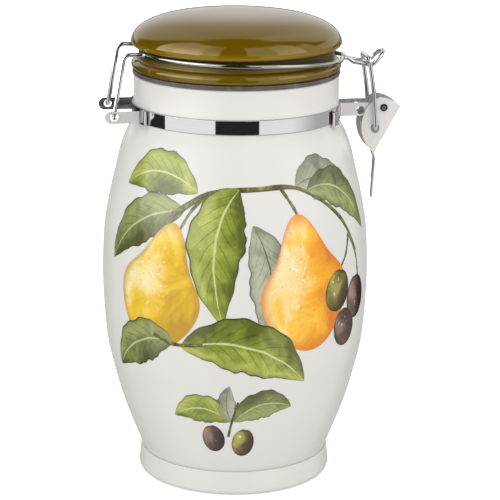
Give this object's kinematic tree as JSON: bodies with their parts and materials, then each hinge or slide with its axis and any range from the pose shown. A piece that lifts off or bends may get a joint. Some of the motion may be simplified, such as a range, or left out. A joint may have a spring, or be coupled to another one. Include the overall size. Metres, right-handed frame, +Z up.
{
  "type": "clip-top storage jar",
  "caption": "Barrel-shaped ceramic food jar on a foot ring, with a domed lid, seal, wire bail, neck band and over-centre lever latch.",
  "frame": {"origin": "centre of the foot ring's underside, on the jar's axis", "axes": "+Z up along the jar's axis, +X towards the latch, the lid's hinge on the -X side, mirrored in Y"},
  "size_m": [0.1341, 0.1204, 0.2115],
  "materials": {
    "white_glaze": "gloss",
    "olive_glaze": "gloss",
    "seal_rubber": "matt",
    "wire_steel": "polished",
    "band_steel": "polished",
    "bracket_steel": "bright",
    "rivet_steel": "bright"
  },
  "bodies": {
    "jar": {"jar_body": "white_glaze", "front_band": "band_steel", "rear_band": "band_steel", "hinge_bracket": "bracket_steel", "latch_arm_front": "bracket_steel", "latch_arm_rear": "bracket_steel", "lever_rivet": "rivet_steel"},
    "bail": {"lid_wire": "wire_steel"},
    "lid": {"lid": "olive_glaze", "gasket": "seal_rubber"},
    "lever": {"latch_lever": "bracket_steel"},
    "link": {"latch_link": "wire_steel"}
  },
  "joints": [
    {"name": "lid_hinge", "type": "hinge", "parent": "jar", "child": "bail", "pos_m": [-0.056, 0, 0.1681], "axis": [0, -1, 0], "range_deg": [0, 185]},
    {"name": "lid_turn", "type": "hinge", "parent": "bail", "child": "lid", "pos_m": [0, 0, 0.1935], "axis": [0, 0, 1], "continuous": true},
    {"name": "lever_pivot", "type": "hinge", "parent": "jar", "child": "lever", "pos_m": [0.0661, 0, 0.1679], "axis": [0, -1, 0], "range_deg": [0, 150]},
    {"name": "link_swing", "type": "hinge", "parent": "lever", "child": "link", "pos_m": [0.0623, 0, 0.1586], "axis": [0, -1, 0], "range_deg": [-113, 0]}
  ],
  "couplings": [
    {"joint": "link_swing", "follows": "lever_pivot", "ratio": -0.75}
  ]
}
